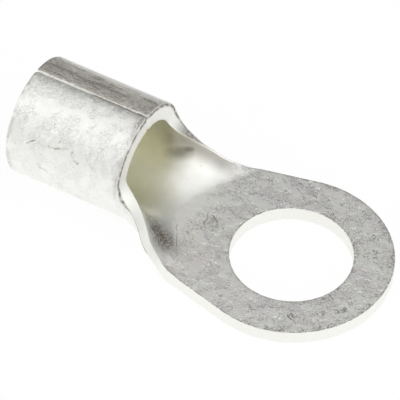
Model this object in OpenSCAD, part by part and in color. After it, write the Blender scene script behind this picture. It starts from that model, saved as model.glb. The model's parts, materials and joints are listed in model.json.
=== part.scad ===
// Uninsulated ring terminal, crimped on the end of a heavy conductor and bolted over a stud.
// It is one piece of tinned copper sheet: blanked flat, with a round palm at one end, and its tail
// rolled into a barrel whose two edges meet in a brazed seam along the top. Between the two, the
// neck is a trough that starts as the barrel's lower half and flattens out into the palm.
// +X runs from the barrel towards the palm and +Z is up. The origin is the centre of the stud hole,
// on the underside, which is flush with the underside of the barrel.

/* [Palm] */
// Width across the round palm
palm_w = 22; // [20:0.5:26]
// Diameter of the stud hole
stud_hole_d = 13.2; // [8:0.1:14]
// Thickness of the palm, which is pressed a little thinner than the barrel's wall
palm_t = 1.8; // [1.4:0.05:2.1]
// Angle between the palm's straight sides and the long axis, on the flat blank
side_angle = 13.5; // [9:0.5:17]

/* [Barrel] */
// Outside diameter of the barrel
barrel_od = 13.3; // [12.5:0.1:14.5]
// Inside diameter of the barrel, which takes the stripped conductor
barrel_id = 9.4; // [8.6:0.1:10]
// Length of the barrel, along the seam
barrel_l = 13.8; // [9:0.1:20]
// From the centre of the stud hole to the barrel's front edge
barrel_reach = 17.7; // [17:0.1:24]

/* [Neck] */
// From the barrel's front edge to the tip of the flat floor, where the trough is all bend
trough_l = 4.6; // [3.5:0.1:6]
// From that tip to where the flat floor takes up the sheet's full width
flare_l = 4.3; // [3:0.1:5]
// Bend radius of the trough's walls at the tip, at the middle of the sheet
trough_r = 14.3; // [10:0.1:18]
// Radius of the corner cut between the neck's side and the barrel's front edge, on the flat blank
corner_r = 3.8; // [2.5:0.1:4.5]

/* [Seam] */
// Width of the groove along the brazed seam
seam_w = 0.4; // [0.2:0.05:0.8]
// Depth of the groove along the brazed seam
seam_depth = 0.2; // [0.1:0.05:0.5]

/* [Hidden] */

palm_r = palm_w / 2;
barrel_wall = (barrel_od - barrel_id) / 2;
barrel_bend_r = (barrel_od + barrel_id) / 4;
barrel_axis_z = barrel_od / 2;

// Places along the neck are distances from the stud hole's centre towards the barrel.
tip_at = barrel_reach - trough_l;
rise_at = tip_at - flare_l;
corner_at = barrel_reach - corner_r;
corner_start_at = corner_at - corner_r * sin(side_angle);

// The neck's end sits this far inside both faces of the barrel's wall, and reaches this deep into it.
seat_gap = 0.03;
seat_depth = 0.5;
// The palm's straight sides stop this far inside its round edge, which they would otherwise just touch.
blend_gap = 0.002;
// Bores are cut this far past the faces that they open in.
cut_over = 1;

flare_steps = 9;
corner_steps = 9;
across_steps = 40;
slope_step = 0.01;

// --- The flat blank -----------------------------------------------------------------------------

// Half the blank's width where its side is straight, touching the palm's round edge.
function straight_half(at) = palm_r / cos(side_angle) - at * tan(side_angle);

corner_half = straight_half(corner_at) + corner_r / cos(side_angle);

// Half the blank's width anywhere along the neck, measured along the middle of the sheet.
function blank_half(at) =
    at <= corner_start_at ? straight_half(at)
    : at >= barrel_reach ? corner_half
    : corner_half - sqrt(max(0, pow(corner_r, 2) - pow(at - corner_at, 2)));

// --- The neck's bend ----------------------------------------------------------------------------

function clamp01(share) = min(1, max(0, share));
function ease(share) = let (s = clamp01(share)) s * s * (3 - 2 * s);

// How far the neck has gone from palm to barrel, from 0 to 1, with a level start and end.
function along(at) = ease((at - rise_at) / (trough_l + flare_l));

function sheet_t(at) = palm_t + (barrel_wall - 2 * seat_gap - palm_t) * along(at);

// Half the width of the flat floor: a V that closes at the tip.
function floor_half(at) = blank_half(rise_at) * clamp01((tip_at - at) / flare_l);

// Curvature of the walls beside the floor, in 1/mm: it grows from the tip to the barrel's own.
function wall_curve(at) =
    1 / trough_r + (1 / barrel_bend_r - 1 / trough_r) * sin(90 * clamp01((at - tip_at) / trough_l));

// A point on the middle of the bent sheet, out from the centre line by a length along the sheet.
function mid_sheet(at, out) =
    let (curve = wall_curve(at))
    let (flat = min(abs(out), floor_half(at)))
    let (turn = (abs(out) - flat) * curve * 180 / PI)
    let (floor_z = sheet_t(at) / 2 + seat_gap * along(at))
    [-at, sign(out) * (flat + sin(turn) / curve), floor_z + (1 - cos(turn)) / curve];

function unit(v) = v / norm(v);

// The sheet's normal there, on the side that faces into the trough.
function inward(at, out) =
    let (along_slope = mid_sheet(at - slope_step, out) - mid_sheet(at + slope_step, out))
    let (across_slope = mid_sheet(at, out + slope_step) - mid_sheet(at, out - slope_step))
    unit(cross(along_slope, across_slope));

// A point on the inner face (side 1) or the outer face (side -1) of the sheet.
function face_point(at, out, side) = mid_sheet(at, out) + side * sheet_t(at) / 2 * inward(at, out);

// Sections of the neck: evenly spaced along the straight sides, and by even turns round the corner cut.
stations = concat(
    [for (i = [0 : flare_steps - 1]) rise_at + (corner_start_at - rise_at) * i / flare_steps],
    [for (i = [0 : corner_steps])
        corner_at + corner_r * sin(-side_angle + (90 + side_angle) * i / corner_steps)],
    [barrel_reach + seat_depth]
);

module neck() {
    rows = len(stations);
    columns = across_steps + 1;
    points = [
        for (side = [1, -1])
            for (at = stations)
                for (j = [0 : across_steps])
                    face_point(at, blank_half(at) * (2 * j / across_steps - 1), side)
    ];
    function corner(side, i, j) = (side > 0 ? 0 : rows * columns) + i * columns + j;
    function patch(a, b, c, d) = [[a, c, b], [a, d, c]];
    inner = [
        for (i = [0 : rows - 2]) for (j = [0 : across_steps - 1])
            each patch(corner(1, i, j), corner(1, i, j + 1), corner(1, i + 1, j + 1), corner(1, i + 1, j))
    ];
    outer = [
        for (i = [0 : rows - 2]) for (j = [0 : across_steps - 1])
            each patch(corner(-1, i, j), corner(-1, i + 1, j), corner(-1, i + 1, j + 1), corner(-1, i, j + 1))
    ];
    edges = [
        for (i = [0 : rows - 2])
            each concat(
                patch(corner(1, i, 0), corner(1, i + 1, 0), corner(-1, i + 1, 0), corner(-1, i, 0)),
                patch(corner(1, i, across_steps), corner(-1, i, across_steps),
                    corner(-1, i + 1, across_steps), corner(1, i + 1, across_steps)))
    ];
    ends = [
        for (j = [0 : across_steps - 1])
            each concat(
                patch(corner(1, 0, j), corner(-1, 0, j), corner(-1, 0, j + 1), corner(1, 0, j + 1)),
                patch(corner(1, rows - 1, j), corner(1, rows - 1, j + 1),
                    corner(-1, rows - 1, j + 1), corner(-1, rows - 1, j)))
    ];
    polyhedron(points, concat(inner, outer, edges, ends));
}

// --- The palm and the barrel --------------------------------------------------------------------

// The flat part of the blank, up to where the neck starts to rise.
module palm() {
    touch = [-palm_r * sin(side_angle), palm_r * cos(side_angle)] * (1 - blend_gap / palm_r);
    rise = [-rise_at, blank_half(rise_at)];
    difference() {
        linear_extrude(palm_t)
            difference() {
                union() {
                    circle(palm_r, $fn = 96);
                    polygon([rise, touch, [touch[0], -touch[1]], [rise[0], -rise[1]]]);
                }
                translate([-rise_at - palm_w, -palm_w / 2])
                    square(palm_w);
            }
        translate([0, 0, -cut_over])
            cylinder(d = stud_hole_d, h = palm_t + 2 * cut_over, $fn = 96);
    }
}

module along_barrel(from, length) {
    translate([-barrel_reach - barrel_l + from, 0, barrel_axis_z])
        rotate([90, 0, 90])
            linear_extrude(length)
                children();
}

module barrel() {
    along_barrel(0, barrel_l)
        difference() {
            circle(barrel_od / 2, $fn = 96);
            circle(barrel_id / 2, $fn = 96);
            seam_groove();
        }
}

// The groove's section, a V with its point down, cut into the top of the barrel.
module seam_groove() {
    lip = barrel_od / 2 + cut_over;
    lip_half = seam_w / 2 * (seam_depth + cut_over) / seam_depth;
    polygon([[0, barrel_od / 2 - seam_depth], [lip_half, lip], [-lip_half, lip]]);
}

module ring_terminal() {
    color("silver")
        union() {
            union() {
                palm();
                neck();
            }
            barrel();
        }
}

ring_terminal();
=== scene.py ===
import json
import math

import bpy
import numpy as np
from mathutils import Matrix, Vector, noise
from mathutils.geometry import delaunay_2d_cdt


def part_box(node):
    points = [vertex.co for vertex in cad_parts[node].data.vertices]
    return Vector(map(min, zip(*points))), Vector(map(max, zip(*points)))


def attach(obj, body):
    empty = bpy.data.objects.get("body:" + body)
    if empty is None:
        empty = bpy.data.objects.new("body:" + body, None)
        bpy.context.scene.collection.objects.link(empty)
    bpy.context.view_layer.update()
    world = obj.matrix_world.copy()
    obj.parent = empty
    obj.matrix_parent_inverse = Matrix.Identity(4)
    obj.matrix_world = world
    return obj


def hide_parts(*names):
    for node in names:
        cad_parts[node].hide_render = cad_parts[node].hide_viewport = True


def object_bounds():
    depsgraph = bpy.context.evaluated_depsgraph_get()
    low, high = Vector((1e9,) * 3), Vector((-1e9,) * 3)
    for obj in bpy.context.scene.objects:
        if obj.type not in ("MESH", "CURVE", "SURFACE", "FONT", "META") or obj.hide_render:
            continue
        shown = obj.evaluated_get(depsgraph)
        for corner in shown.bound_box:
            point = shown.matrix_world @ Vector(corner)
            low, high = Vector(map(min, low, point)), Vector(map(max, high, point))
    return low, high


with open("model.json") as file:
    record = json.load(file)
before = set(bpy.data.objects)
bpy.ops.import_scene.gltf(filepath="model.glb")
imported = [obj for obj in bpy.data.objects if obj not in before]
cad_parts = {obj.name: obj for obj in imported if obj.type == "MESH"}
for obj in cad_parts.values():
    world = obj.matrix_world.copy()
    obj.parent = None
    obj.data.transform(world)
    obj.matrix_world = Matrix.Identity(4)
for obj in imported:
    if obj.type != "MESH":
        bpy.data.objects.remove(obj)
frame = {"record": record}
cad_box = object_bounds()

# The ring terminal is one blank of tin-plated copper, bent so that its front is a flat palm and its back
# a tube. The blank is drawn flat, its edges are rounded as stamping leaves them, and the skin is then bent.

MM = 0.001
PIECE = "tinned_blank"
NODE = "ring_terminal"

# --- Sizes in millimetres -------------------------------------------------------------------------

mounts = {mount["name"]: mount for mount in frame["record"]["mounts"]}
low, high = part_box(NODE)

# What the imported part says: the palm, its stud hole, and the barrel with its bore.
PALM_R = round((high[1] - low[1]) / 2 / MM, 1)
HOLE_R = mounts["stud_hole"]["dims"]["r_mm"]
PALM_T = mounts["stud_hole"]["dims"]["length_mm"]
BARREL_R = round((high[2] - low[2]) / 2 / MM, 2)
BORE_R = mounts["wire_barrel"]["dims"]["r_mm"]
BARREL_L = mounts["wire_barrel"]["dims"]["length_mm"]
REAR = -low[0] / MM
REACH = REAR - BARREL_L

# How the neck between them is bent: the slope of its sides, the lengths over which the trough deepens and
# the palm flares into it, the bend where the trough starts, and the corners of the barrel's front.
SIDE = math.radians(13.5)
TROUGH_L = 3.9
FLARE_L = 5.0
TROUGH_R = 14.3
FAR_CORNER_R = 3.8
NEAR_CORNER_R = 2.9
SEAM_CORNER_R = 0.35

WALL = BARREL_R - BORE_R
BEND_R = (BARREL_R + BORE_R) / 2
TIP = REACH - TROUGH_L
RISE = TIP - FLARE_L
SEAM_V = math.pi * BEND_R

# How far apart the points of the mesh are, inside the blank and along its edges.
GRID = 0.30
EDGE = 0.25


def clamp01(x):
    return np.clip(x, 0.0, 1.0)


def ease(x):
    """0 to 1 as x goes from 0 to 1, smoothly at both ends."""
    s = clamp01(x)
    return s * s * (3 - 2 * s)


def window(x, start, end, fade):
    """1 between start and end, and 0 beyond them by fade."""
    return ease((x - start) / fade + 1) * ease((end - x) / fade + 1)


# --- The flat blank -------------------------------------------------------------------------------
# A point of the blank is (u, v): u from the stud hole towards the barrel, v across. The side with v < 0 is
# the near one, as the photograph shows the terminal.

SEAM_CORNER_STEP = math.pi / 12


def straight_half(u):
    """Half the blank's width where its sides are straight."""
    return PALM_R / math.cos(SIDE) - u * math.tan(SIDE)


def corner(r):
    """The centre (u, v) of the inner corner of radius r between the neck's side and the barrel's front."""
    u = REACH - r
    return u, straight_half(u) + r / math.cos(SIDE)


def spaced(a, b, step):
    """Even steps from a towards b, without b itself."""
    count = max(1, int(round(abs(b - a) / step)))
    return a + (b - a) * np.arange(count) / count


def half_outline(step, r):
    """Half the outline, as if for v >= 0, from the palm's tip to the middle of the rear edge."""
    small = SEAM_CORNER_R
    corner_u, corner_v = corner(r)
    phi = spaced(0, math.pi / 2 + SIDE, step / PALM_R)
    side_u = spaced(PALM_R * math.sin(SIDE), corner_u - r * math.sin(SIDE), step)
    turn = spaced(-SIDE, math.pi / 2, step / r)
    front_v = spaced(corner_v, SEAM_V - small, step)
    tight = spaced(0, math.pi / 2, SEAM_CORNER_STEP)
    seam_u = spaced(REACH + small, REAR - small, step)
    rear_v = spaced(SEAM_V - small, 0, step)
    stretches = (
        (-PALM_R * np.cos(phi), PALM_R * np.sin(phi)),
        (side_u, straight_half(side_u)),
        (corner_u + r * np.sin(turn), corner_v - r * np.cos(turn)),
        (np.full_like(front_v, REACH), front_v),
        (REACH + small * (1 - np.cos(tight)), SEAM_V - small * (1 - np.sin(tight))),
        (seam_u, np.full_like(seam_u, SEAM_V)),
        (REAR - small * (1 - np.sin(tight)), SEAM_V - small * (1 - np.cos(tight))),
        (np.full_like(rear_v, REAR), rear_v),
        ([REAR], [0.0]),
    )
    return np.vstack([np.column_stack(stretch) for stretch in stretches])


def whole_outline(step):
    near = half_outline(step, NEAR_CORNER_R)
    return np.vstack([half_outline(step, FAR_CORNER_R), near[-2:0:-1] * [1, -1]])


def outward(loop):
    """The direction out of a closed loop at each point, long enough to hold an even inset at corners."""
    ahead = np.roll(loop, -1, 0) - loop
    behind = loop - np.roll(loop, 1, 0)
    area = np.sum(loop[:, 0] * np.roll(loop[:, 1], -1) - np.roll(loop[:, 0], -1) * loop[:, 1])
    n0, n1 = (np.column_stack([d[:, 1], -d[:, 0]]) * np.sign(area) for d in (behind, ahead))
    n0 /= np.linalg.norm(n0, axis=1)[:, None]
    n1 /= np.linalg.norm(n1, axis=1)[:, None]
    return (n0 + n1) / (1 + np.sum(n0 * n1, 1))[:, None]


# --- The bend -------------------------------------------------------------------------------------

NORMAL_STEP = 0.01


def sheet_t(u):
    """The thickness of the sheet, which is pressed thinner towards the palm."""
    return PALM_T + (WALL - PALM_T) * ease((u - RISE) / (TROUGH_L + FLARE_L))


def floor_half(u):
    """Half the width that stays flat; the palm is flat all over."""
    return np.where(u <= RISE, SEAM_V, straight_half(RISE) * clamp01((TIP - u) / FLARE_L))


def wall_curve(u):
    """The curvature of the neck's walls, which grows along the trough to that of the barrel."""
    grown = np.sin(math.pi / 2 * clamp01((u - TIP) / TROUGH_L))
    return 1 / TROUGH_R + (1 / BEND_R - 1 / TROUGH_R) * grown


def mid_sheet(u, v):
    """Where the middle of the sheet lies once bent, in the frame."""
    flat = np.minimum(np.abs(v), floor_half(u))
    bend = wall_curve(u)
    lean = bend * (np.abs(v) - flat)
    y = np.sign(v) * (flat + np.sin(lean) / bend)
    return np.stack([-u, y, sheet_t(u) / 2 + (1 - np.cos(lean)) / bend], -1)


def inward(u, v):
    """The sheet's unit normal on the side that faces into the trough and the bore."""
    along = mid_sheet(u - NORMAL_STEP, v) - mid_sheet(u + NORMAL_STEP, v)
    across = mid_sheet(u, v + NORMAL_STEP) - mid_sheet(u, v - NORMAL_STEP)
    n = np.cross(along, across)
    return n / np.linalg.norm(n, axis=-1, keepdims=True)


def bent(u, v, w):
    """A point of the sheet, w from its middle towards the inner face."""
    return mid_sheet(u, v) + w[..., None] * inward(u, v)


# --- The edges ------------------------------------------------------------------------------------
# The section of a cut edge runs from the inner face over a small round, down the cut, and over a larger
# round to the outer face. A row of it is (inset from the outline, height above the middle, share of cut,
# share of lip), where the lip is the line along which the lower round meets the cut.

ARC_STEPS = 6
CUT_STEPS = 5
LIP_W = 0.30

# How far the rounds reach: the upper one, the lower one, the lower one along the barrel, and those of the
# stud hole. The lower one changes to the barrel's over a short length.
BURR_ROUND = 0.07
LOW_ROUND = 0.40
BARREL_ROUND = 0.20
HOLE_ROUND = 0.09
BARREL_BLEND = 1.0

# The near side of the neck is squeezed: over what stretch of u, and how much that adds to its lower round
# inwards and along the cut.
SQUEEZE_FROM, SQUEEZE_TO, SQUEEZE_FADE = 12.0, 14.6, 1.7
SQUEEZE_IN = 0.48
SQUEEZE_UP = 0.8 * SQUEEZE_IN

# It also lies further out than the far side: by how much, from where on, and how that ends at the barrel.
SWELL = 0.33
SWELL_FROM, SWELL_START = 11.4, 1.8
SWELL_END, SWELL_POWER = 1.6, 0.7


def section(t, upper, lower_in, lower_up):
    """The rows of a cut edge, for a sheet t thick; the lower round reaches lower_in and lower_up."""
    at_edge = np.zeros_like(t)
    quarter = np.linspace(0, math.pi / 2, ARC_STEPS + 1)
    rows = []
    for a in quarter:
        height = t / 2 - upper * (1 - math.cos(a))
        rows.append((upper * (1 - math.sin(a)), height, math.sin(a), at_edge))
    high_end, low_end = t / 2 - upper, lower_up - t / 2
    for s in np.linspace(0, 1, CUT_STEPS + 1)[1:-1]:
        rows.append((at_edge, high_end + (low_end - high_end) * s, 1.0, at_edge))
    for a in quarter:
        lip = 1 - clamp01(a * lower_in / LIP_W)
        height = lower_up * (1 - math.sin(a)) - t / 2
        rows.append((lower_in * (1 - math.cos(a)), height, math.cos(a), lip))
    return rows


def outline_section(loop):
    """The section all along the outline."""
    u, v = loop.T
    corner_v = np.where(v < 0, corner(NEAR_CORNER_R)[1], corner(FAR_CORNER_R)[1])
    past_front = ease((u - REACH) / BARREL_BLEND + 1)
    past_corner = ease((np.abs(v) - corner_v) / BARREL_BLEND + 1)
    barrel = past_front * past_corner
    lower = LOW_ROUND + (BARREL_ROUND - LOW_ROUND) * barrel
    squeezed = np.where(v < 0, window(u, SQUEEZE_FROM, SQUEEZE_TO, SQUEEZE_FADE), 0) * (1 - barrel)
    upper = np.full(len(loop), BURR_ROUND)
    return section(sheet_t(u), upper, lower + SQUEEZE_IN * squeezed, lower + SQUEEZE_UP * squeezed)


def hole_section(loop):
    """The section all round the stud hole."""
    small = np.full(len(loop), HOLE_ROUND)
    return section(np.full(len(loop), PALM_T), small, small, small)


def neck_swell(loop):
    """How much further out the near side of the neck lies than the far side."""
    u, v = loop.T
    along = ease((u - SWELL_FROM) / SWELL_START) * clamp01((REACH - u) / SWELL_END) ** SWELL_POWER
    return np.where(v < 0, SWELL * along, 0)


# --- What rolling and pressing leave --------------------------------------------------------------

# Waves of both faces: how high on the palm and on the barrel, how long, and their fractal noise.
PALM_WAVE = 0.008
BARREL_WAVE = 0.03
WAVE_L = 2.6
WAVE_SEED, WAVE_APART = 11, 5
WAVE_FALLOFF, WAVE_FINER, WAVE_OCTAVES = 0.6, 2.0, 3
# Waves and the pressed corner fade towards the middle of the sheet, from this height above it.
FACE_W = 0.5
# The near corner of the palm is pressed down a little: where, over what half sizes, and how deep.
PRESS_U, PRESS_V = 10.9, -8.6
PRESS_HALF_U, PRESS_HALF_V = 2.2, 2.1
PRESS_DEEP = 0.25
# The near side of the neck is thinner than the rest, by this much at its edge and down to none at PINCH_W
# from it. Along u, that grows from its start over one length and ends over another.
PINCH = 0.85
PINCH_W = 2.6
PINCH_FROM, PINCH_GROWS = 9.5, 5
PINCH_TO, PINCH_ENDS = 17.2, 1.8
# Distances from a cut edge are taken up to here.
RIM_MAX = 3.0


def rim_distance(uv, loops):
    """How far each point of the blank is from the nearest cut edge, up to RIM_MAX."""
    far = np.full(len(uv), RIM_MAX)
    for p in loops:
        near = np.abs(uv[:, 0] - p[0]) < RIM_MAX
        far[near] = np.minimum(far[near], np.hypot(*(uv[near] - p).T))
    return far


def wave(u, v, side):
    """The unevenness at one point of one face, about -1 to 1."""
    place = (u / WAVE_L, v / WAVE_L, WAVE_SEED + WAVE_APART * side)
    return noise.fractal(place, WAVE_FALLOFF, WAVE_FINER, WAVE_OCTAVES)


def hand_work(uv, w, rim):
    """How far each point is moved from its place in the sheet, towards the inner face."""
    u, v = uv.T
    side = np.sign(w)
    waves = np.array([wave(*point) for point in zip(u, v, side)])
    # The floor carries the part on its underside, so no wave goes below it.
    waves = np.where(side > 0, waves, np.abs(waves))
    high_wave = PALM_WAVE + (BARREL_WAVE - PALM_WAVE) * ease((u - RISE) / TROUGH_L)
    off_press = np.hypot((u - PRESS_U) / PRESS_HALF_U, (v - PRESS_V) / PRESS_HALF_V)
    press = PRESS_DEEP * ease(1 - off_press)
    pinch = PINCH * ease((u - PINCH_FROM) / PINCH_GROWS) * ease((PINCH_TO - u) / PINCH_ENDS)
    pinch = pinch * ease(1 - rim / PINCH_W)
    depth = 2 * np.abs(w) / sheet_t(u)
    inner = -press * clamp01(w / FACE_W)
    outer = np.where(v < 0, pinch * depth, 0)
    return waves * high_wave * clamp01(np.abs(w) / FACE_W) + np.where(side > 0, inner, outer)


# --- The skin -------------------------------------------------------------------------------------

# No point of the grid is closer to an edge than this share of the grid's step.
EDGE_CLEARANCE = 0.6
SAME_PLACE = 1e-6


def inside(points, loop):
    """Whether each point is inside a closed loop."""
    hit = np.zeros(len(points), bool)
    for (x0, y0), (x1, y1) in zip(loop, np.roll(loop, -1, 0)):
        if y0 != y1:
            x = x0 + (points[:, 1] - y0) * (x1 - x0) / (y1 - y0)
            hit ^= ((points[:, 1] > y0) != (points[:, 1] > y1)) & (points[:, 0] < x)
    return hit


def between(points, outer, hole):
    """Whether each point is inside the outline and outside the hole."""
    return inside(points, outer) & ~inside(points, hole)


def grid_points(outer, hole):
    """A triangular grid of points between the outline and the hole, clear of both."""
    rows = []
    for k, u in enumerate(np.arange(-PALM_R, REAR, GRID * math.sqrt(3) / 2)):
        v = np.arange(-SEAM_V, SEAM_V, GRID) + (k % 2) * GRID / 2
        rows.append(np.column_stack([np.full_like(v, u), v]))
    grid = np.vstack(rows)
    grid = grid[between(grid, outer, hole)]
    clear = np.ones(len(grid), bool)
    for p in np.vstack([outer, hole]):
        clear &= np.abs(grid - p).max(1) > EDGE_CLEARANCE * GRID
    return grid[clear]


def closed_edges(start, count):
    """The edges of a closed loop of points, by index."""
    return [(start + i, start + (i + 1) % count) for i in range(count)]


def filled(outer, hole):
    """Points, which start with those of the two loops, and the triangles between outline and hole."""
    points = np.vstack([outer, hole, grid_points(outer, hole)])
    edges = closed_edges(0, len(outer)) + closed_edges(len(outer), len(hole))
    made = delaunay_2d_cdt([Vector(p) for p in points], edges, [], 0, SAME_PLACE)
    faces, origin = made[2], made[3]
    tris = np.array([[origin[i][0] for i in face] for face in faces])
    tris = tris[between(points[tris].mean(1), outer, hole)]
    a, b, c = (points[tris[:, k]] for k in range(3))
    area = (b[:, 0] - a[:, 0]) * (c[:, 1] - a[:, 1]) - (b[:, 1] - a[:, 1]) * (c[:, 0] - a[:, 0])
    tris[area < 0] = tris[area < 0][:, ::-1]
    return points, tris


class Skin:
    """Points of the blank (u, v), their height w and share of cut and lip, and the faces between them."""

    def __init__(self):
        self.uv, self.w, self.marks, self.faces = [], [], [], []
        self.count = 0

    def add(self, uv, w, cut=0.0, lip=0.0):
        self.uv.append(uv)
        self.w.append(w)
        self.marks.append(np.column_stack([np.full(len(uv), cut), np.zeros(len(uv)) + lip]))
        self.count += len(uv)
        return np.arange(self.count - len(uv), self.count)

    def face(self, side, outer, hole):
        """One face of the blank, the inner one for side 1; gives the indices of its two loops."""
        points, tris = filled(outer, hole)
        index = self.add(points, side * sheet_t(points[:, 0]) / 2)
        self.faces.append(index[tris[:, ::-1] if side > 0 else tris])
        return index[: len(outer)], index[len(outer) : len(outer) + len(hole)]

    def edge(self, loop, out, rows, first, last):
        """The band of one cut edge, between the loops of the inner and the outer face."""
        bands = [first]
        for inset, height, cut, lip in rows[1:-1]:
            bands.append(self.add(loop - out * inset[:, None], height, cut, lip))
        bands.append(last)
        for a, b in zip(bands[:-1], bands[1:]):
            self.faces.append(np.column_stack([b, np.roll(b, -1), np.roll(a, -1), a]))
        return bands


def whole_skin(loop, hole):
    """The skin of the flat blank, and the bands of points of its outline's edge."""
    out, hole_out = outward(loop), -outward(hole)
    rows, hole_rows = outline_section(loop), hole_section(hole)
    skin = Skin()
    ends = []
    for side, k in ((1, 0), (-1, -1)):
        outer = loop - out * rows[k][0][:, None]
        inner = hole - hole_out * hole_rows[k][0][:, None]
        ends.append(skin.face(side, outer, inner))
    (first, hole_first), (last, hole_last) = ends
    bands = skin.edge(loop, out, rows, first, last)
    skin.edge(hole, hole_out, hole_rows, hole_first, hole_last)
    return skin, bands


def welded_faces(skin, loop, bands):
    """The faces once the cut edges along the barrel's seam are one, which leaves a groove on each side."""
    on_seam = np.isclose(np.abs(loop[:, 1]), SEAM_V)
    partner = {round(loop[i, 0], 6): i for i in np.nonzero(on_seam & (loop[:, 1] > 0))[0]}
    weld = np.arange(skin.count)
    for band in bands[ARC_STEPS : ARC_STEPS + CUT_STEPS + 1]:
        for i in np.nonzero(on_seam & (loop[:, 1] < 0))[0]:
            weld[band[i]] = band[partner[round(loop[i, 0], 6)]]
    # A face whose mirror image is there too lies inside the weld.
    seen = {}
    for part in skin.faces:
        for face in weld[part].tolist():
            seen.setdefault(tuple(sorted(face)), []).append(face)
    return [same[0] for same in seen.values() if len(same) == 1]


def build_skin():
    loop = whole_outline(EDGE)
    loop = loop + outward(loop) * neck_swell(loop)[:, None]
    turn = spaced(0, 2 * math.pi, EDGE / HOLE_R)
    hole = HOLE_R * np.column_stack([np.cos(turn), np.sin(turn)])
    skin, bands = whole_skin(loop, hole)
    faces = welded_faces(skin, loop, bands)

    used = np.unique([j for face in faces for j in face])
    new = np.zeros(skin.count, int)
    new[used] = np.arange(len(used))
    uv, w = np.vstack(skin.uv)[used], np.concatenate(skin.w)[used]
    cut, lip = np.vstack(skin.marks)[used].T
    rim = rim_distance(uv, np.vstack([loop, hole]))
    places = bent(uv[:, 0], uv[:, 1], w + hand_work(uv, w, rim)) * MM

    mesh = bpy.data.meshes.new(PIECE)
    mesh.from_pydata(places.tolist(), [], [[int(new[j]) for j in face] for face in faces])
    mesh.validate()
    mesh.polygons.foreach_set("use_smooth", [True] * len(mesh.polygons))
    blank = mesh.attributes.new("blank", "FLOAT_VECTOR", "POINT")
    blank.data.foreach_set("vector", np.column_stack([uv, w]).ravel())
    for name, values in (("cut", cut), ("lip", lip), ("rim", rim)):
        mesh.attributes.new(name, "FLOAT", "POINT").data.foreach_set("value", values.copy())
    made = bpy.data.objects.new(PIECE, mesh)
    bpy.context.scene.collection.objects.link(made)
    return made


# --- Node graphs ----------------------------------------------------------------------------------


class Graph:
    """Short calls that add shader nodes to an emptied tree; a value may be a number or a socket."""

    def __init__(self, owner):
        owner.use_nodes = True
        self.tree = owner.node_tree
        self.tree.nodes.clear()

    def add(self, kind, inputs, **settings):
        made = self.tree.nodes.new(kind)
        for name, value in settings.items():
            setattr(made, name, value)
        for name, value in inputs.items():
            if isinstance(value, bpy.types.NodeSocket):
                self.tree.links.new(value, made.inputs[name])
            else:
                made.inputs[name].default_value = value
        return made

    def math(self, operation, a, b=0.0):
        return self.add("ShaderNodeMath", {0: a, 1: b}, operation=operation).outputs[0]

    def chain(self, operation, values):
        result = values[0]
        for value in values[1:]:
            result = self.math(operation, result, value)
        return result

    def product(self, *values):
        return self.chain("MULTIPLY", values)

    def total(self, *values):
        return self.chain("ADD", values)

    def most(self, *values):
        return self.chain("MAXIMUM", values)

    def length(self, a, b):
        return self.math("SQRT", self.total(self.product(a, a), self.product(b, b)))

    def span(self, value, start, end, low=0.0, high=1.0):
        """low where value is at start or before it, high at end or after it, smoothly between."""
        inputs = {"Value": value, "From Min": start, "From Max": end, "To Min": low, "To Max": high}
        made = self.add("ShaderNodeMapRange", inputs, interpolation_type="SMOOTHSTEP")
        return made.outputs[0]

    def noise(self, place, scale, detail=2.0, roughness=0.5, distortion=0.0):
        inputs = {"Vector": place, "Scale": scale, "Detail": detail}
        inputs.update({"Roughness": roughness, "Distortion": distortion})
        return self.add("ShaderNodeTexNoise", inputs).outputs[0]

    def moved(self, place, turn=0.0, stretch=(1, 1, 1), shift=(0, 0, 0)):
        inputs = {"Vector": place, "Rotation": (0, 0, turn), "Scale": stretch, "Location": shift}
        return self.add("ShaderNodeMapping", inputs).outputs[0]

    def mix(self, share, a, b):
        return self.add("ShaderNodeMix", {0: share, 6: a, 7: b}, data_type="RGBA").outputs[2]


# --- The tin plate --------------------------------------------------------------------------------
# Textures read the place on the flat blank, in mm, so they follow the bend. Each pattern has its own shift,
# so that no two of them use the same stretch of noise.

TIN = (0.945, 0.95, 0.913, 1)
TIN_DULL = (0.81, 0.805, 0.775, 1)
TIN_LILAC = (0.90, 0.86, 0.865, 1)
TIN_BORE = (0.96, 0.945, 0.76, 1)
TIN_BROWN = (0.945, 0.915, 0.84, 1)
TIN_CUT = (0.94, 0.94, 0.90, 1)
# Dark brown of dirt, also painted on as shade in the neck and along a crease of the palm.
GRIME_AND_SHADE = (0.18, 0.155, 0.115, 1)

# Zones of the blank, each from where it starts to where it is full: a face, by w; the yellowish inside and
# the palm, by u; and the dull strip beside the seam, by v.
FACE = (0.0, 0.4)
TUBE = (13.5, 18.5)
PALM = (12.5, 10.5)
STRIP = (13.4, 15.4)

# Unsteadiness of a stroke: how fine it is, and how far it goes.
WOBBLE_SCALE, WOBBLE_DETAIL, WOBBLE_ROUGH, WOBBLE = 0.8, 6.0, 0.75, 2.4
# Which share of a line's half width is at full strength, and how soft the edge of a nick is.
LINE_CORE = 0.3
NICK_EDGE = 0.05

# Roughness of the outer and the inner face, and what the rest adds to it.
ROUGH_FACES = (0.34, 0.44)
ROUGH_CUT = 0.20
ROUGH_GRAIN = 0.12
ROUGH_DIRT_AND_SHADE = 0.15
ROUGH_NICKS = -0.10

# Heights of the finish in mm; where there are two, elsewhere and in the zone that has more of it.
GRAIN_HIGH = (0.006, 0.011)
STREAKS_HIGH = (0.030, 0.120)
DIMPLES_HIGH = (0.020, 0.040)
SHEAR_HIGH = 0.020
NICKS_HIGH = -0.07


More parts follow.
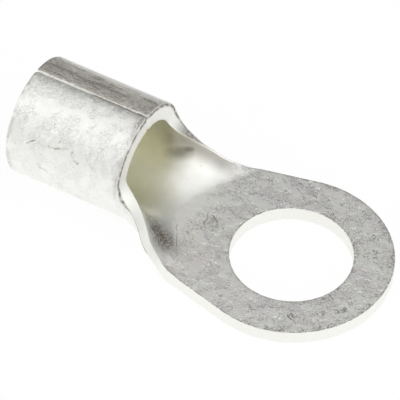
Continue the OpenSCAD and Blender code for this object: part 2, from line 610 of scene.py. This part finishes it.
class Plate(Graph):
    """The graph of the tin plate, with the zones of the blank and the patterns that its layers share."""

    def __init__(self, owner):
        super().__init__(owner)
        self.place = self.read("blank", "Vector")
        self.cut = self.read("cut", "Fac")
        self.lip = self.read("lip", "Fac")
        self.rim = self.read("rim", "Fac")
        self.u, self.v, self.w = self.add("ShaderNodeSeparateXYZ", {0: self.place}).outputs

        face = self.math("SUBTRACT", 1.0, self.cut)
        self.face = face
        self.inner = self.product(self.span(self.w, *FACE), face)
        self.outer = self.product(self.span(self.w, FACE[0], -FACE[1]), face)
        self.tube = self.span(self.u, *TUBE)
        self.palm = self.product(self.inner, self.span(self.u, *PALM))
        self.strip = self.product(self.outer, self.span(self.v, *STRIP))

        self.grain = self.noise(self.place, 4.0, 2.0, 0.6)
        self.streaks = self.noise(self.moved(self.place, 0, (1.9, 4.6, 1)), 1.0, 4.0, 0.75)
        self.uneven = self.cloud(2.4, 0.36, 0.60, shift=13.0, detail=2.0)
        self.broken = self.cloud(1.1, 0.36, 0.46, shift=1.0, detail=2.0)
        curly = self.vein(1.1, 0.038)
        self.curls = self.product(curly, self.cloud(1.2, 0.49, 0.57, shift=9.0, detail=1.0))

    def read(self, name, output):
        return self.add("ShaderNodeAttribute", {}, attribute_name=name).outputs[output]

    def cloud(self, scale, start, end, shift=0.0, detail=3.0):
        """Smooth patches, 1 / scale mm across, where the noise passes from start to end."""
        place = self.moved(self.place, shift=(shift, 2 * shift, 3 * shift))
        return self.span(self.noise(place, scale, detail), start, end)

    def vein(self, scale, width, shift=0.0):
        """Thin winding lines, width wide as a share of their spacing."""
        place = self.moved(self.place, shift=(3 * shift, shift, 2 * shift))
        winding = self.noise(place, scale, 2.0, 0.5, distortion=1.3)
        off = self.math("ABSOLUTE", self.math("SUBTRACT", winding, 0.5))
        return self.line(off, width)

    def layer(self, strength, *masks):
        """The masks multiplied, and strength where all of them are 1."""
        return self.product(*masks, strength)

    def line(self, off, width):
        """1 where off is near 0, and 0 from width on."""
        return self.span(off, width, LINE_CORE * width)

    def nicks(self, count, long, fine, rarity):
        """Straight short lines in several directions."""
        lines = []
        for k in range(count):
            turned = self.moved(self.place, turn=math.pi * (k + 0.3) / count)
            drawn = self.moved(turned, 0, (1 / long, 1 / fine, 1), (3.7 * k, 1.3 * k, 9.1 * k))
            lines.append(self.span(self.noise(drawn, 1.0, 0.0), rarity, rarity + NICK_EDGE))
        return self.most(*lines)

    def stroke(self, ends, width):
        """1 along a mark between two places (u, v) of the blank, a little unsteady."""
        (u0, v0), (u1, v1) = ends
        run, climb = u1 - u0, v1 - v0
        unsteady = self.noise(self.place, WOBBLE_SCALE, WOBBLE_DETAIL, WOBBLE_ROUGH)
        wobble = self.product(self.math("SUBTRACT", unsteady, 0.5), WOBBLE)
        du = self.total(self.u, wobble, -u0)
        dv = self.total(self.v, wobble, -v0)
        share = self.total(self.product(du, run), self.product(dv, climb))
        share = self.math("DIVIDE", share, run * run + climb * climb)
        share = self.math("MINIMUM", self.math("MAXIMUM", share, 0.0), 1.0)
        du = self.math("SUBTRACT", du, self.product(share, run))
        dv = self.math("SUBTRACT", dv, self.product(share, climb))
        return self.line(self.length(du, dv), width)

    def blotch(self, at, half, ragged=0.7, turn=0.0):
        """1 at one spot of the blank, fading unevenly to 0 over the half sizes, turned from +u to +v."""
        du = self.math("SUBTRACT", self.u, at[0])
        dv = self.math("SUBTRACT", self.v, at[1])
        run, climb = math.cos(turn), math.sin(turn)
        along = self.total(self.product(du, run / half[0]), self.product(dv, climb / half[0]))
        across = self.total(self.product(dv, run / half[1]), self.product(du, -climb / half[1]))
        raggedness = self.product(self.noise(self.place, 0.9, 4.0), ragged)
        off = self.total(self.length(along, across), raggedness)
        return self.span(off, 1.0 + ragged, 0.1 + 0.5 * ragged)


# Marks that the photograph shows, each from one place (u, v) of the blank to another, and its half width.
PALM_MARKS = (
    (((-3.6, -7.6), (-5.0, -8.4)), 0.15),
    (((-4.0, -7.4), (-4.7, -7.8)), 0.13),
    (((-4.3, -7.4), (-4.35, -7.5)), 0.14),
    (((-7.9, -4.9), (-8.8, -4.0)), 0.11),
    (((-7.0, -5.5), (-6.8, -5.8)), 0.10),
    (((9.7, 0.4), (8.9, -0.2)), 0.12),
    (((10.5, 0.6), (10.3, -0.6)), 0.10),
    (((10.3, -0.6), (10.0, -1.8)), 0.08),
    (((3.3, -10.0), (3.4, -8.8)), 0.08),
    (((-1.4, -9.1), (-1.3, -9.2)), 0.14),
    (((4.0, 8.6), (3.3, 8.3)), 0.08),
    (((2.2, 8.9), (1.6, 8.6)), 0.09),
    # This one is painted shade along a crease of the palm, not a scratch.
    (((12.6, -2.6), (10.8, -5.8)), 0.07),
)
BARREL_MARKS = (
    (((28.9, -11.0), (27.8, -11.8)), 0.09),
    (((27.8, -11.8), (25.7, -11.6)), 0.07),
    (((25.7, -11.6), (24.2, -12.0)), 0.10),
    (((24.2, -12.0), (22.7, -11.0)), 0.09),
    (((27.9, -9.3), (26.4, -8.5)), 0.08),
)

# Dark places of the neck's inner wall: where each is, and its half sizes. The far patch runs across both u
# and v.
# The near one is a stain; the far patch and its core darken the wall there; the wide far one is painted
# shade.
NEAR_STAIN = ((13.4, -5.7), (3.1, 2.2))
FAR_DARK_PATCH = ((16.4, 6.9), (2.3, 1.4))
FAR_DARK_CORE = ((16.1, 7.2), (1.3, 0.9))
FAR_SHADE = ((16.7, 8.3), (2.8, 2.6))
FAR_DARK_TURN = 0.75 * math.pi
# Stains of the barrel: at its rear in the strip, and at its front below the seam.
REAR_STAIN = ((31.0, 15.5), (2.5, 2.5))
FRONT_STAIN = ((18.1, -16.9), (0.6, 1.2))


def scratches_and_crease_shade(p):
    """Scratches, worn off in part, and one line of painted shade along a crease of the palm."""
    palm = p.most(*[p.stroke(*mark) for mark in PALM_MARKS])
    barrel = p.most(*[p.stroke(*mark) for mark in BARREL_MARKS])
    left = p.cloud(1.6, 0.30, 0.56, shift=3.0)
    worn = p.span(left, 0.0, 1.0, low=0.42, high=0.80)
    return p.most(p.product(palm, p.inner, worn), p.layer(0.62, barrel, p.outer, left))


def palm_dirt(p):
    """Curls, hairs and specks, most of them in clusters and towards the palm's tip, and its rim line."""
    clusters = p.cloud(0.50, 0.46, 0.60, shift=4.0)
    hair = p.product(p.vein(0.8, 0.030, shift=5.0), p.cloud(0.9, 0.46, 0.58, shift=2.0, detail=1.0))
    specks = p.cloud(3.0, 0.70, 0.76, shift=7.0, detail=1.0)
    curled = p.span(clusters, 0.0, 1.0, low=0.08, high=0.62)
    specked = p.span(clusters, 0.0, 1.0, low=0.10, high=0.7)
    rim_line = p.product(p.span(p.rim, 0.30, 0.05), p.inner, p.span(p.u, 11.0, 9.0), p.broken)
    patches = p.cloud(1.4, 0.48, 0.60, shift=12.0, detail=2.0)
    front_edge = p.product(p.span(p.rim, 1.0, 0.2), patches, p.palm)
    return p.most(
        p.product(p.curls, curled, p.span(p.u, 5.0, -4.0, low=0.65, high=1.0), p.palm),
        p.layer(0.18, hair, p.palm),
        p.product(specks, specked, p.face, p.span(p.u, 14.0, 11.0, low=0.3, high=1.0)),
        p.product(rim_line, p.span(p.uneven, 0.0, 1.0, low=0.08, high=0.62)),
        p.product(front_edge, p.span(p.grain, 0.45, 0.60), p.span(p.u, 4.0, -4.0, low=0.20, high=0.68)),
    )


def barrel_dirt(p):
    """Curls, the strip beside the seam with its streaks and bands, and the barrel's stains and edges."""
    along = p.noise(p.moved(p.place, 0, (0.22, 1.5, 1)), 1.0, 3.0, 0.6)
    bands = p.span(along, 0.46, 0.60)
    below_seam = p.product(p.outer, p.span(p.v, -16.6, -17.7))
    rear_line = p.product(p.span(p.rim, 0.50, 0.25), p.outer, p.span(p.u, 30.0, 31.0), p.broken)
    stained = p.span(p.grain, 0.35, 0.55)
    return p.most(
        p.layer(0.30, p.curls, p.cloud(0.30, 0.56, 0.70, shift=6.0), p.outer),
        p.product(p.strip, p.span(p.streaks, 0.46, 0.60), p.span(p.v, 14.0, 17.8, low=0.30, high=0.52)),
        p.product(p.strip, bands, p.span(p.grain, 0.35, 0.60, low=0.28, high=0.66)),
        p.layer(0.40, below_seam, p.span(p.grain, 0.40, 0.60)),
        p.layer(0.5, p.outer, p.blotch(*REAR_STAIN), stained),
        p.layer(0.6, p.outer, p.blotch(*FRONT_STAIN), stained),
        p.layer(0.35, p.outer, p.span(p.rim, 1.0, 0.0), p.cloud(0.9, 0.40, 0.60, shift=15.0)),
        p.layer(0.4, rear_line, p.uneven),
    )


def neck_dirt_and_shade(p):
    """The lip line along the neck, painted crease shade and partly dirt; the near stain; the far dark
    patch; painted shade on the far wall and beside its edge; the dark far cut face.
    """
    # The lip line is painted shade in the crease where the lower round meets the cut, and partly dirt.
    lip = p.product(p.lip, p.span(p.u, 12.6, 13.4), p.span(p.u, 25.0, 24.0))
    far_side = p.product(p.span(p.v, 0.0, 1.0), p.span(p.u, 8.0, 11.5))
    # Painted shade on the inner wall near the far edge, stopping short of the edge itself.
    far_edge_shade = p.product(p.span(p.rim, 2.6, 0.6), p.span(p.rim, 0.12, 0.30), p.inner, far_side)
    far_cut = p.product(p.cut, far_side, p.span(p.u, 17.4, 16.0))
    return p.most(
        p.product(lip, p.span(p.uneven, 0.0, 1.0, low=0.45, high=1.0)),
        p.product(p.blotch(*NEAR_STAIN), p.inner, p.span(p.grain, 0.35, 0.62, low=0.52, high=0.98)),
        # A dark patch with a darker core on the far inner wall.
        p.layer(0.70, p.blotch(*FAR_DARK_PATCH, ragged=0.3, turn=FAR_DARK_TURN), p.inner),
        p.layer(0.82, p.blotch(*FAR_DARK_CORE, ragged=0.3, turn=FAR_DARK_TURN), p.inner),
        # Painted shade over the far inner wall.
        p.layer(0.48, p.blotch(*FAR_SHADE, ragged=0.3), p.inner),
        p.layer(0.58, far_edge_shade, p.span(p.u, 10.5, 13.0), p.span(p.u, 18.5, 16.5)),
        p.product(far_cut, p.span(p.grain, 0.35, 0.60, low=0.28, high=0.75)),
    )


def tin_colour(p, dirt_and_shade):
    up_the_wall = p.span(p.math("ABSOLUTE", p.v), 1.0, 7.5, low=0.22, high=1.0)
    lilac = p.layer(0.7, p.cloud(0.45, 0.40, 0.62, shift=8.0), p.palm)
    dull = p.layer(0.19, p.cloud(0.9, 0.42, 0.66, shift=5.0, detail=5.0), p.face)
    mottle = p.layer(0.10, p.cloud(2.2, 0.30, 0.70, shift=1.5, detail=2.0), p.palm)
    colour = p.mix(p.product(p.inner, p.tube, up_the_wall), TIN, TIN_BORE)
    layers = (
        (lilac, TIN_LILAC),
        (dull, TIN_DULL),
        (mottle, TIN_DULL),
        (p.strip, TIN_BROWN),
        (p.cut, TIN_CUT),
        # Dirt, and painted shade, in one dark colour.
        (dirt_and_shade, GRIME_AND_SHADE),
    )
    for share, tint in layers:
        colour = p.mix(share, colour, tint)
    return colour


def roughness(p, dirt_and_shade, nicks):
    return p.total(
        p.span(p.inner, 0.0, 1.0, *ROUGH_FACES),
        p.product(p.cut, ROUGH_CUT),
        p.product(p.math("SUBTRACT", p.grain, 0.5), ROUGH_GRAIN),
        p.product(dirt_and_shade, ROUGH_DIRT_AND_SHADE),
        p.product(nicks, ROUGH_NICKS),
    )


def relief(p, nicks):
    """The height of the finish; the cut edge has fine lines of shear across it."""
    dimples = p.noise(p.place, 1.1, 3.0)
    shear = p.noise(p.moved(p.place, 0, (5, 5, 0.5)), 1.0, 2.0)
    return p.total(
        p.product(p.grain, p.span(p.palm, 0.0, 1.0, *GRAIN_HIGH)),
        p.product(p.streaks, p.outer, p.span(p.v, 11.5, 14.5, *STREAKS_HIGH)),
        p.product(dimples, p.span(p.outer, 0.0, 1.0, *DIMPLES_HIGH)),
        p.product(shear, p.cut, SHEAR_HIGH),
        p.product(nicks, NICKS_HIGH),
    )


def tin_plate():
    material = bpy.data.materials.new("tin_plate")
    p = Plate(material)
    # Dirt, wear and scratches, with painted shade in the neck and along a crease of the palm.
    dirt_and_shade = p.most(scratches_and_crease_shade(p), palm_dirt(p), barrel_dirt(p), neck_dirt_and_shade(p))
    bare = p.most(p.palm, p.product(p.outer, 0.5))
    lines = p.nicks(count=5, long=0.9, fine=0.10, rarity=0.66)
    nicks = p.product(lines, p.cloud(0.6, 0.42, 0.58, shift=3.0), bare)
    bump = p.add("ShaderNodeBump", {"Height": relief(p, nicks), "Strength": 1.0, "Distance": MM})
    inputs = {"Base Color": tin_colour(p, dirt_and_shade), "Roughness": roughness(p, dirt_and_shade, nicks)}
    inputs.update({"Metallic": 1.0, "Normal": bump.outputs[0]})
    shader = p.add("ShaderNodeBsdfPrincipled", inputs)
    p.add("ShaderNodeOutputMaterial", {0: shader.outputs[0]})
    return material


# --- Studio ---------------------------------------------------------------------------------------

# The room is dim towards its back, has a large soft box on each side, and is lit from its whole ceiling.
# Directions are compass angles from +Y towards +X; levels are radiance, where 1 is white.
DIM_BACK = 0.225
DIM_FRONT = 0.50
BOX_LEVEL = 1.00
RIGHT_BOX, RIGHT_HALF = math.radians(92), math.radians(84)
LEFT_BOX, LEFT_HALF = math.radians(-122), math.radians(58)
CEILING = 1.00
CEILING_START, CEILING_FULL = math.radians(38.5), math.radians(68)

# The floor, in metres: the radii of the paper and the table, and how far each lies below the other.
PAPER_R = 2 * (high[0] - low[0])
TABLE_R = 3.0
TABLE_DROP = 0.00005
DISC_POINTS = 96
PAPER_WHITE = (0.95, 0.95, 0.95, 1)
GLOW = 1.02
GLOW_SHARE = 0.90

# The camera's angles, its place in mm, and its lens on a sensor 36 mm wide.
CAMERA_AZ, CAMERA_EL, CAMERA_ROLL = math.radians(28.732), math.radians(47.264), math.radians(1.345)
CAMERA_AT = (112.726, -226.07, 283.117)
CAMERA_LENS, CAMERA_SENSOR = 320.96, 36.0
CLIP_NEAR, CLIP_FAR = 0.01, 20

WHITE = (1, 1, 1, 1)


def room_light():
    world = bpy.data.worlds.new("room")
    bpy.context.scene.world = world
    g = Graph(world)
    ray = g.add("ShaderNodeTexCoord", {}).outputs["Generated"]
    x, y, z = g.add("ShaderNodeSeparateXYZ", {0: ray}).outputs
    compass = g.math("ARCTAN2", x, y)
    walls = g.span(y, 1.0, -1.0, DIM_BACK, DIM_FRONT)
    for middle, half in ((RIGHT_BOX, RIGHT_HALF), (LEFT_BOX, LEFT_HALF)):
        off = g.math("ABSOLUTE", g.math("SUBTRACT", compass, middle))
        walls = g.total(walls, g.span(off, half, 0.0, 0.0, BOX_LEVEL))
    above = g.span(g.math("ARCSINE", z), CEILING_START, CEILING_FULL)
    sky = g.total(g.product(above, CEILING), g.product(g.math("SUBTRACT", 1.0, above), walls))
    # The camera sees plain white where the table ends.
    seen = g.add("ShaderNodeLightPath", {}).outputs["Is Camera Ray"]
    light = g.add("ShaderNodeBackground", {"Color": WHITE, "Strength": g.most(sky, seen)})
    g.add("ShaderNodeOutputWorld", {0: light.outputs[0]})


def paper():
    """White paper that camera and metal see as white, with a faint shadow left in it."""
    material = bpy.data.materials.new("paper")
    g = Graph(material)
    white = g.add("ShaderNodeBsdfDiffuse", {"Color": PAPER_WHITE})
    glow = g.add("ShaderNodeEmission", {"Color": WHITE, "Strength": GLOW})
    path = g.add("ShaderNodeLightPath", {})
    seen = g.most(path.outputs["Is Camera Ray"], path.outputs["Is Glossy Ray"])
    shares = {0: g.product(seen, GLOW_SHARE), 1: white.outputs[0], 2: glow.outputs[0]}
    mixed = g.add("ShaderNodeMixShader", shares)
    g.add("ShaderNodeOutputMaterial", {0: mixed.outputs[0]})
    return material


def disc(name, radius, z, material):
    """A flat round, centred under the part."""
    x, y = ((low[k] + high[k]) / 2 for k in (0, 1))
    turn = np.linspace(0, 2 * math.pi, DISC_POINTS, endpoint=False)
    ring = [(x + radius * math.cos(a), y + radius * math.sin(a), z) for a in turn]
    mesh = bpy.data.meshes.new(name)
    mesh.from_pydata(ring, [], [list(range(DISC_POINTS))])
    mesh.materials.append(material)
    made = bpy.data.objects.new(name, mesh)
    bpy.context.scene.collection.objects.link(made)
    return made


def floor():
    """A round of paper that the metal mirrors, on a wide table that only the camera sees."""
    white = paper()
    ground = cad_box[0][2] - TABLE_DROP
    sheet = disc("paper", PAPER_R, ground, white)
    table = disc("table", TABLE_R, ground - TABLE_DROP, white)
    table.visible_glossy = False


def camera():
    """The camera at the photograph's viewing angle."""
    az, el, roll = CAMERA_AZ, CAMERA_EL, CAMERA_ROLL
    back = Vector((math.sin(az) * math.cos(el), -math.cos(az) * math.cos(el), math.sin(el)))
    level = Vector((math.cos(az), math.sin(az), 0))
    upright = back.cross(level)
    right = math.cos(roll) * level + math.sin(roll) * upright
    up = -math.sin(roll) * level + math.cos(roll) * upright
    data = bpy.data.cameras.new("camera")
    data.sensor_width = CAMERA_SENSOR
    data.lens = CAMERA_LENS
    data.clip_start, data.clip_end = CLIP_NEAR, CLIP_FAR
    cam = bpy.data.objects.new("camera", data)
    bpy.context.scene.collection.objects.link(cam)
    m = Matrix((right, up, back)).transposed().to_4x4()
    m.translation = Vector(CAMERA_AT) * MM
    cam.matrix_world = m
    bpy.context.scene.camera = cam


piece = build_skin()
piece.data.materials.append(tin_plate())
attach(piece, "root")
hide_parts(NODE)
room_light()
floor()
camera()
bpy.context.scene.view_settings.view_transform = "Standard"
